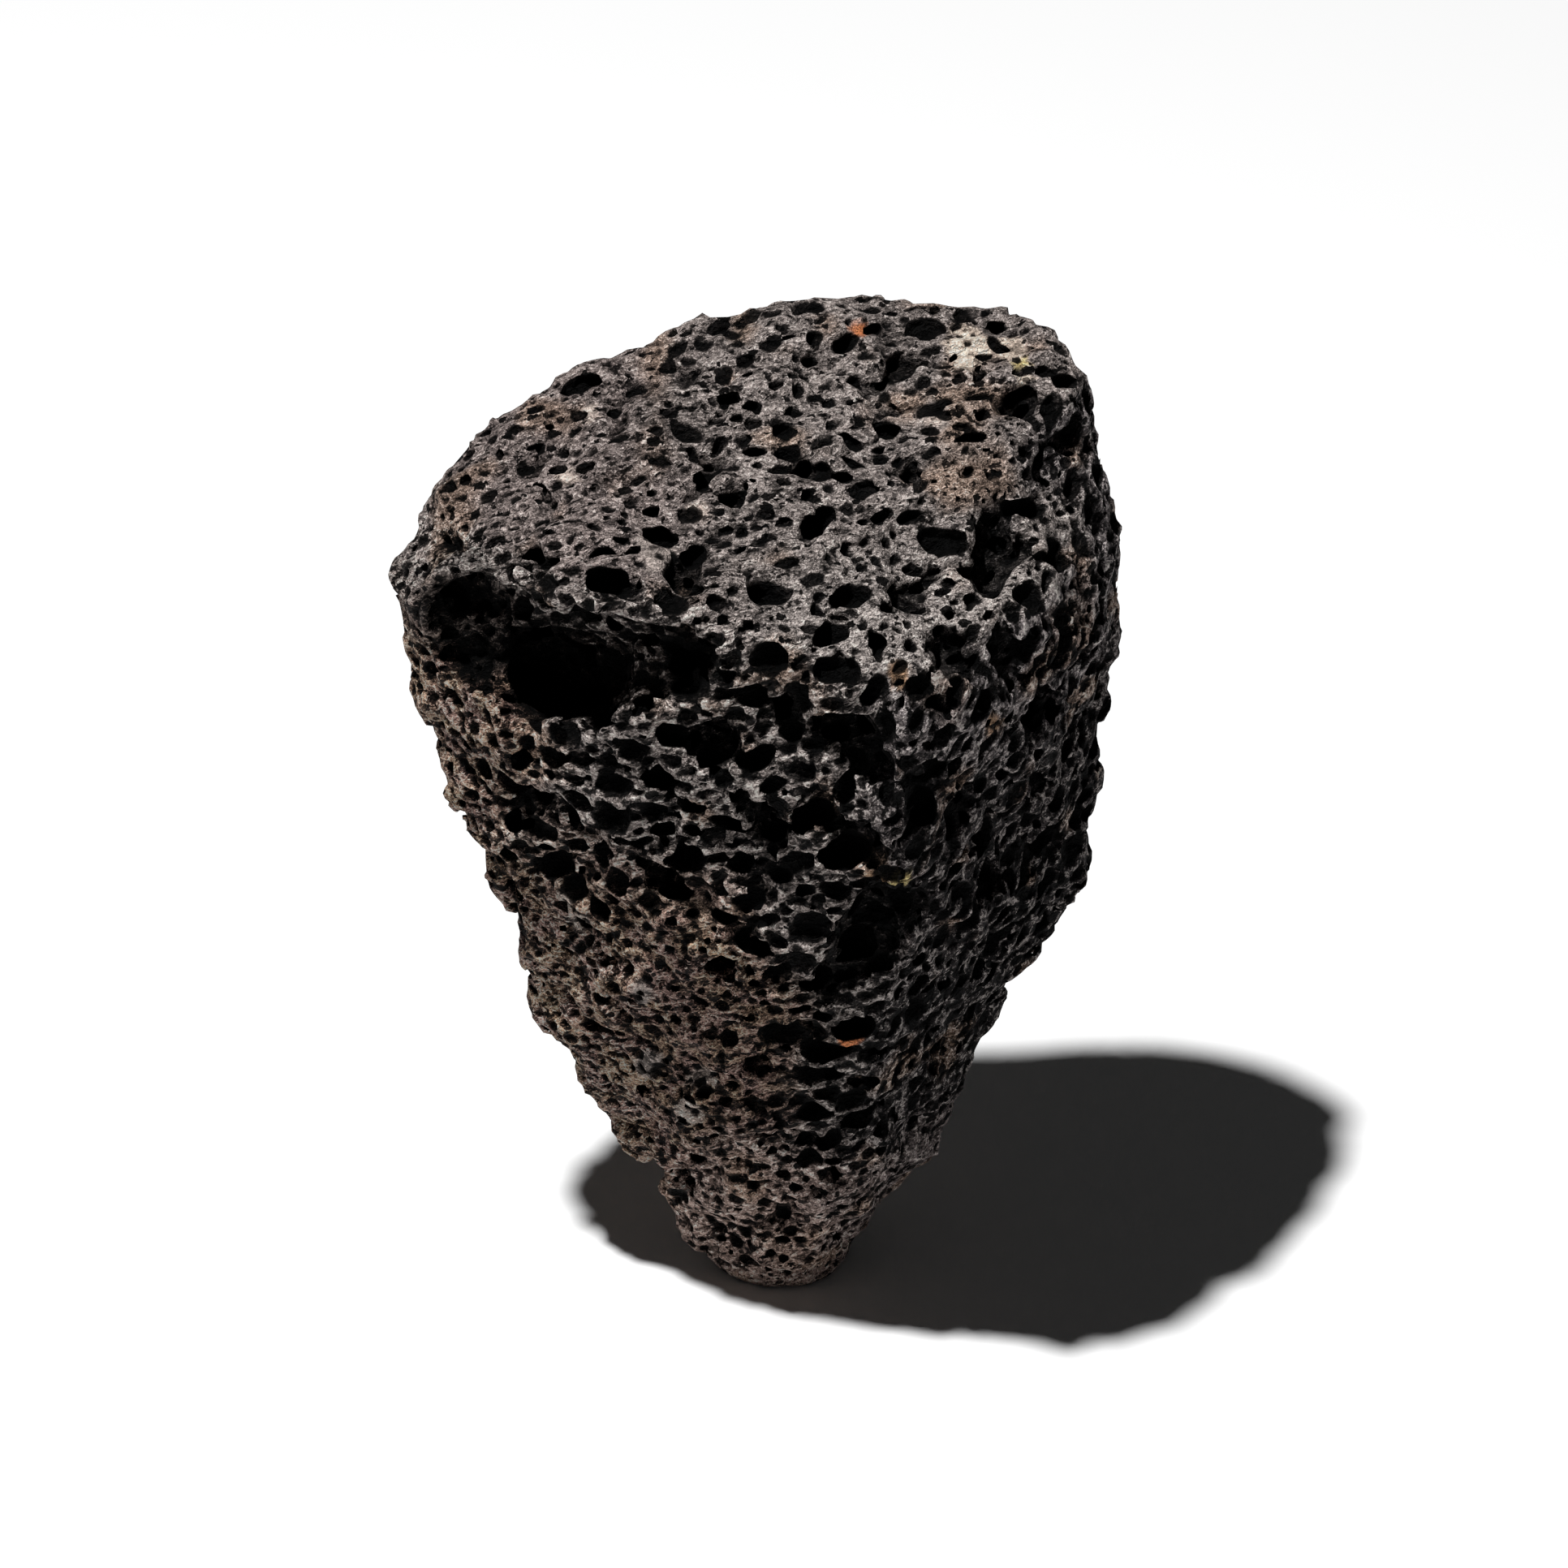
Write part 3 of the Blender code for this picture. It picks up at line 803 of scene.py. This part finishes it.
class Nodes:
    """Short calls for building a material out of nodes."""

    def __init__(self, name):
        self.material = bpy.data.materials.new(name)
        self.material.use_nodes = True
        self.tree = self.material.node_tree
        self.shader = self.tree.nodes["Principled BSDF"]

    def put(self, socket, value):
        """Links an input to another node's output, or sets it."""
        if isinstance(value, bpy.types.NodeSocket):
            self.tree.links.new(value, socket)
        else:
            socket.default_value = value

    def add(self, kind, values, output=0, **settings):
        """A node with its settings made and its inputs set or linked; gives one of its outputs."""
        node = self.tree.nodes.new(kind)
        for name, setting in settings.items():
            setattr(node, name, setting)
        for key, value in values.items():
            self.put(node.inputs[key], value)
        return node.outputs[output]

    def set(self, key, value):
        self.put(self.shader.inputs[key], value)

    def math(self, operation, *values):
        return self.add("ShaderNodeMath", dict(enumerate(values)), operation=operation)

    def vector(self, operation, *values):
        return self.add("ShaderNodeVectorMath", dict(enumerate(values)), operation=operation)

    def scaled(self, vector, scale):
        return self.add("ShaderNodeVectorMath", {0: vector, "Scale": scale}, operation="SCALE")

    def step(self, low, high, value):
        """From 0 at low to 1 at high, smoothly."""
        values = {"Value": value, "From Min": low, "From Max": high}
        return self.add("ShaderNodeMapRange", values, interpolation_type="SMOOTHSTEP")

    def spread(self, low, high, value):
        """A value from 0 to 1 spread over low to high."""
        return self.add("ShaderNodeMapRange", {"Value": value, "To Min": low, "To Max": high})

    def mix(self, factor, first, second):
        """A colour between two."""
        values = {0: factor, 6: first, 7: second}
        return self.add("ShaderNodeMix", values, MIXED_COLOUR, data_type="RGBA")

    def mixed(self, factor, first, second):
        """A number between two."""
        return self.add("ShaderNodeMix", {0: factor, 2: first, 3: second})

    def noise(self, place, size, detail, output=0):
        values = {"Vector": place, "Scale": 1 / size, "Detail": detail}
        return self.add("ShaderNodeTexNoise", values, output)

    def attribute(self, name, output=ATTRIBUTE_NUMBER):
        return self.add("ShaderNodeAttribute", {}, output, attribute_name=name)

    def total(self, *parts):
        """The sum of sockets, each times its own factor."""
        result = 0.0
        for socket, factor in parts:
            result = self.math("MULTIPLY_ADD", socket, factor, result)
        return result

    def centred(self, socket):
        return self.math("SUBTRACT", socket, 0.5)


def drawn_out(nodes, place, flow, by):
    """The place measured so that a texture of it is drawn out along flow, by times."""
    along = nodes.add("ShaderNodeVectorMath", {0: place, 1: flow}, "Value", operation="DOT_PRODUCT")
    back = nodes.scaled(tuple(flow), nodes.math("MULTIPLY", along, 1 / by - 1))
    return nodes.vector("ADD", place, back)


def walls(nodes, place, size):
    """Cells of that size with thin walls between them: 0 on the walls, rising quickly to 1."""
    values = {"Vector": place, "Scale": 1 / size}
    edge = nodes.add("ShaderNodeTexVoronoi", values, feature="DISTANCE_TO_EDGE")
    return nodes.math("SUBTRACT", 1.0, nodes.math("EXPONENT", nodes.math("MULTIPLY", edge, WALL_FALL)))


def pores(nodes, place, size, widest, missing):
    """Loose round pores, at most one in each cell of that size: 1 inside them, and 1 on their rims."""
    spots = nodes.tree.nodes.new("ShaderNodeTexVoronoi")
    nodes.put(spots.inputs["Vector"], place)
    nodes.put(spots.inputs["Scale"], 1 / size)
    dice = nodes.add("ShaderNodeSeparateXYZ", {0: spots.outputs["Color"]})
    limits = {"Value": dice, "From Min": missing, "To Min": 0.0, "To Max": widest}
    reach = nodes.add("ShaderNodeMapRange", limits)
    away = nodes.math("SUBTRACT", spots.outputs["Distance"], reach)
    inside = nodes.step(*PORE_EDGE, away)
    rim = nodes.math("MULTIPLY", nodes.step(*RIM_EDGE, away), nodes.math("SUBTRACT", 1.0, inside))
    there = nodes.math("GREATER_THAN", reach, SMALLEST_PORE)
    return nodes.math("MULTIPLY", inside, there), nodes.math("MULTIPLY", rim, there)


def texture_places(nodes, openness):
    """The place on the stone as it is, drawn out along the flow, and drawn out and bent."""
    place = nodes.scaled(nodes.add("ShaderNodeTexCoord", {}, "Object"), 1 / MM)
    flank = nodes.math("GREATER_THAN", nodes.attribute("flank"), 0.5)
    long = drawn_out(nodes, place, FLOW.normalized(), STRETCH)
    steep = drawn_out(nodes, place, FLANK_FLOW.normalized(), FLANK_STRETCH)
    flows = {0: flank, 4: long, 5: steep}
    flowing = nodes.add("ShaderNodeMix", flows, MIXED_VECTOR, data_type="VECTOR")
    bend = nodes.noise(place, BEND_SIZE, detail=3.0, output=NOISE_COLOUR)
    bend = nodes.vector("SUBTRACT", bend, (0.5, 0.5, 0.5))
    bent = nodes.vector("ADD", flowing, nodes.scaled(bend, nodes.spread(*BENDS, openness)))
    return place, flowing, bent


def textures(nodes, openness, foamy):
    """All the textures that the colour and the relief are made of, by name."""
    place, flowing, bent = texture_places(nodes, openness)
    streaked = drawn_out(nodes, bent, FLOW.normalized(), STREAK_STRETCH)
    made = {
        "wide": nodes.mixed(foamy, *(walls(nodes, bent, size) for size in WIDE_CELLS)),
        "narrow": nodes.mixed(foamy, *(walls(nodes, bent, size) for size in NARROW_CELLS)),
        "lumps": nodes.noise(flowing, LUMP_SIZE, detail=2.0),
        "crumb": nodes.noise(bent, CRUMB_SIZE, detail=3.0),
        "streak": nodes.noise(streaked, STREAK_SIZE, detail=3.0),
        "fine": nodes.noise(bent, FINE_SIZE, detail=2.0),
        "grain": nodes.noise(place, GRAIN_SIZE, detail=1.0),
    }
    limit = nodes.spread(*GAP_LIMITS, openness)
    made["gaps"] = nodes.step(limit, nodes.math("SUBTRACT", limit, GAP_EDGE), made["crumb"])
    made["large"], made["large rim"] = pores(nodes, bent, *LARGE_PORES)
    made["small"], made["small rim"] = pores(nodes, bent, *SMALL_PORES)
    return made


def lightness(nodes, made, openness, patch):
    """How light each place is, as an exponent: rock or mineral, with painted shade in pores, pits and
    hollows.
    """
    crumb = nodes.centred(made["crumb"])
    fine = nodes.centred(made["fine"])
    rock = nodes.total(
        # Painted shade: darker cells between the walls, more so in open foam.
        (made["wide"], nodes.spread(-0.3, -3.2, openness)),
        (made["narrow"], nodes.spread(-0.4, -2.0, openness)),
        (openness, 3.7),
        # Painted shade in gaps and pores.
        (made["gaps"], -2.6),
        (made["large"], -4.4),
        (made["small"], -3.6),
        # Rims of pores lighter: partly wear, partly painted highlight.
        (made["large rim"], 0.35),
        (made["small rim"], 0.30),
        (nodes.centred(made["lumps"]), 2.2),
        (crumb, 2.6),
        (nodes.centred(made["streak"]), 5.0),
        (fine, 6.5),
        (nodes.centred(made["grain"]), 3.5),
    )
    # Mineral is darker in its gaps and pores too: painted shade.
    mineral = nodes.total((crumb, 1.5), (fine, 3.0), (made["gaps"], -1.0), (made["large"], -1.2))
    level = nodes.mixed(patch, rock, nodes.math("SUBTRACT", mineral, MINERAL_DROP))
    # Painted shade in pits and hollows, growing with their depth.
    pit = nodes.step(*PIT_DEPTHS, nodes.attribute("pit"))
    hollow = nodes.step(*HOLLOWS, nodes.attribute("hollow"))
    return nodes.total((pit, -4.2), (hollow, -3.2), (level, 1.0))


def rock_colour(nodes, level, foamy, patch):
    """The tint of each place made lighter or darker, its lightest grains greyer as a painted highlight."""
    bare = nodes.math("EXPONENT", level)
    levelled = nodes.math("MULTIPLY_ADD", bare, LEVELLING, 1.0)
    shade = nodes.math("DIVIDE", nodes.math("MULTIPLY", bare, GAIN), levelled)
    light = nodes.step(*LIGHT_SHADES, shade)
    # Painted highlight: the lightest shades turn towards a light grey.
    painted_highlight = nodes.math("MULTIPLY", light, nodes.spread(*LIGHT_SHARES, foamy))
    tint = nodes.attribute("tint", ATTRIBUTE_COLOUR)
    tint = nodes.mix(patch, nodes.mix(painted_highlight, tint, HIGHLIGHT_GREY), tint)
    shades = nodes.add("ShaderNodeCombineXYZ", {0: shade, 1: shade, 2: shade})
    return nodes.vector("MINIMUM", nodes.vector("MULTIPLY", tint, shades), LIGHTEST)


def relief(nodes, made, openness):
    """How high each place stands, in millimetres."""
    return nodes.total(
        (made["wide"], nodes.spread(-0.1, -0.9, openness)),
        (made["narrow"], nodes.spread(-0.15, -0.45, openness)),
        (made["lumps"], 3.0),
        (made["crumb"], 1.8),
        (made["streak"], 1.1),
        (made["fine"], 0.6),
        (made["gaps"], -0.3),
        (made["large"], -0.6),
        (made["small"], -0.4),
    )


def basalt():
    nodes = Nodes("vesicular basalt")
    openness = nodes.attribute("openness")
    patch = nodes.attribute("patch")
    foamy = nodes.step(*FOAMY, openness)
    made = textures(nodes, openness, foamy)
    level = lightness(nodes, made, openness, patch)
    bump = {"Strength": 1.0, "Distance": MM, "Height": relief(nodes, made, openness)}
    nodes.set("Base Color", rock_colour(nodes, level, foamy, patch))
    nodes.set("Roughness", ROCK_ROUGHNESS)
    nodes.set("Specular IOR Level", ROCK_SPECULAR)
    nodes.set("Normal", nodes.add("ShaderNodeBump", bump))
    return nodes.material


# ---------------------------------------------------------------- stage


def set_camera():
    data = bpy.data.cameras.new("camera")
    data.lens = LENS
    data.sensor_width = SENSOR
    camera = bpy.data.objects.new("camera", data)
    camera.location = (EYE_TARGET + EYE_BACK * EYE_DISTANCE) * MM
    camera.rotation_euler = (math.pi / 2 - EYE_ELEVATION, 0, 0)
    bpy.context.scene.collection.objects.link(camera)
    bpy.context.scene.camera = camera


def set_lights():
    """A lamp whose light doesn't fade with distance, so that it falls evenly, and the light around it."""
    lamp = bpy.data.lights.new("lamp", "POINT")
    lamp.energy = LAMP_WATTS
    lamp.shadow_soft_size = LAMP_RADIUS * MM
    lamp.use_nodes = True
    tree = lamp.node_tree
    falloff = tree.nodes.new("ShaderNodeLightFalloff")
    falloff.inputs["Strength"].default_value = 1
    tree.links.new(falloff.outputs["Constant"], tree.nodes["Emission"].inputs["Strength"])
    key = bpy.data.objects.new("lamp", lamp)
    key.location = LAMP_PLACE * MM
    bpy.context.scene.collection.objects.link(key)
    world = bpy.data.worlds.new("studio")
    world.use_nodes = True
    background = world.node_tree.nodes["Background"]
    background.inputs["Color"].default_value = (1, 1, 1, 1)
    background.inputs["Strength"].default_value = LIGHT_ALL_ROUND
    bpy.context.scene.world = world
    bpy.context.scene.view_settings.view_transform = "Standard"


def set_floor():
    mesh = bpy.data.meshes.new("floor")
    s = FLOOR_HALF * MM
    mesh.from_pydata([(-s, -s, 0), (s, -s, 0), (s, s, 0), (-s, s, 0)], [], [(0, 1, 2, 3)])
    floor = bpy.data.objects.new("floor", mesh)
    bpy.context.scene.collection.objects.link(floor)
    nodes = Nodes("floor")
    nodes.set("Base Color", FLOOR_COLOUR)
    nodes.set("Roughness", FLOOR_ROUGHNESS)
    mesh.materials.append(nodes.material)


# ---------------------------------------------------------------- the scene

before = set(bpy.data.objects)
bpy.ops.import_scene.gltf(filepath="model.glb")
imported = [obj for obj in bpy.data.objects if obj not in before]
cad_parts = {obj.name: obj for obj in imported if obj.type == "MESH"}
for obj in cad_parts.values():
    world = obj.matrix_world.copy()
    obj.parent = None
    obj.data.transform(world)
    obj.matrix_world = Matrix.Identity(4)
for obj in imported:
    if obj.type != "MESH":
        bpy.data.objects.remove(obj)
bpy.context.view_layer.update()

rock = stone(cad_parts["lava_rock"])
rock.data.materials.append(basalt())
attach(rock, "root")
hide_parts("lava_rock")

set_floor()
set_lights()
set_camera()
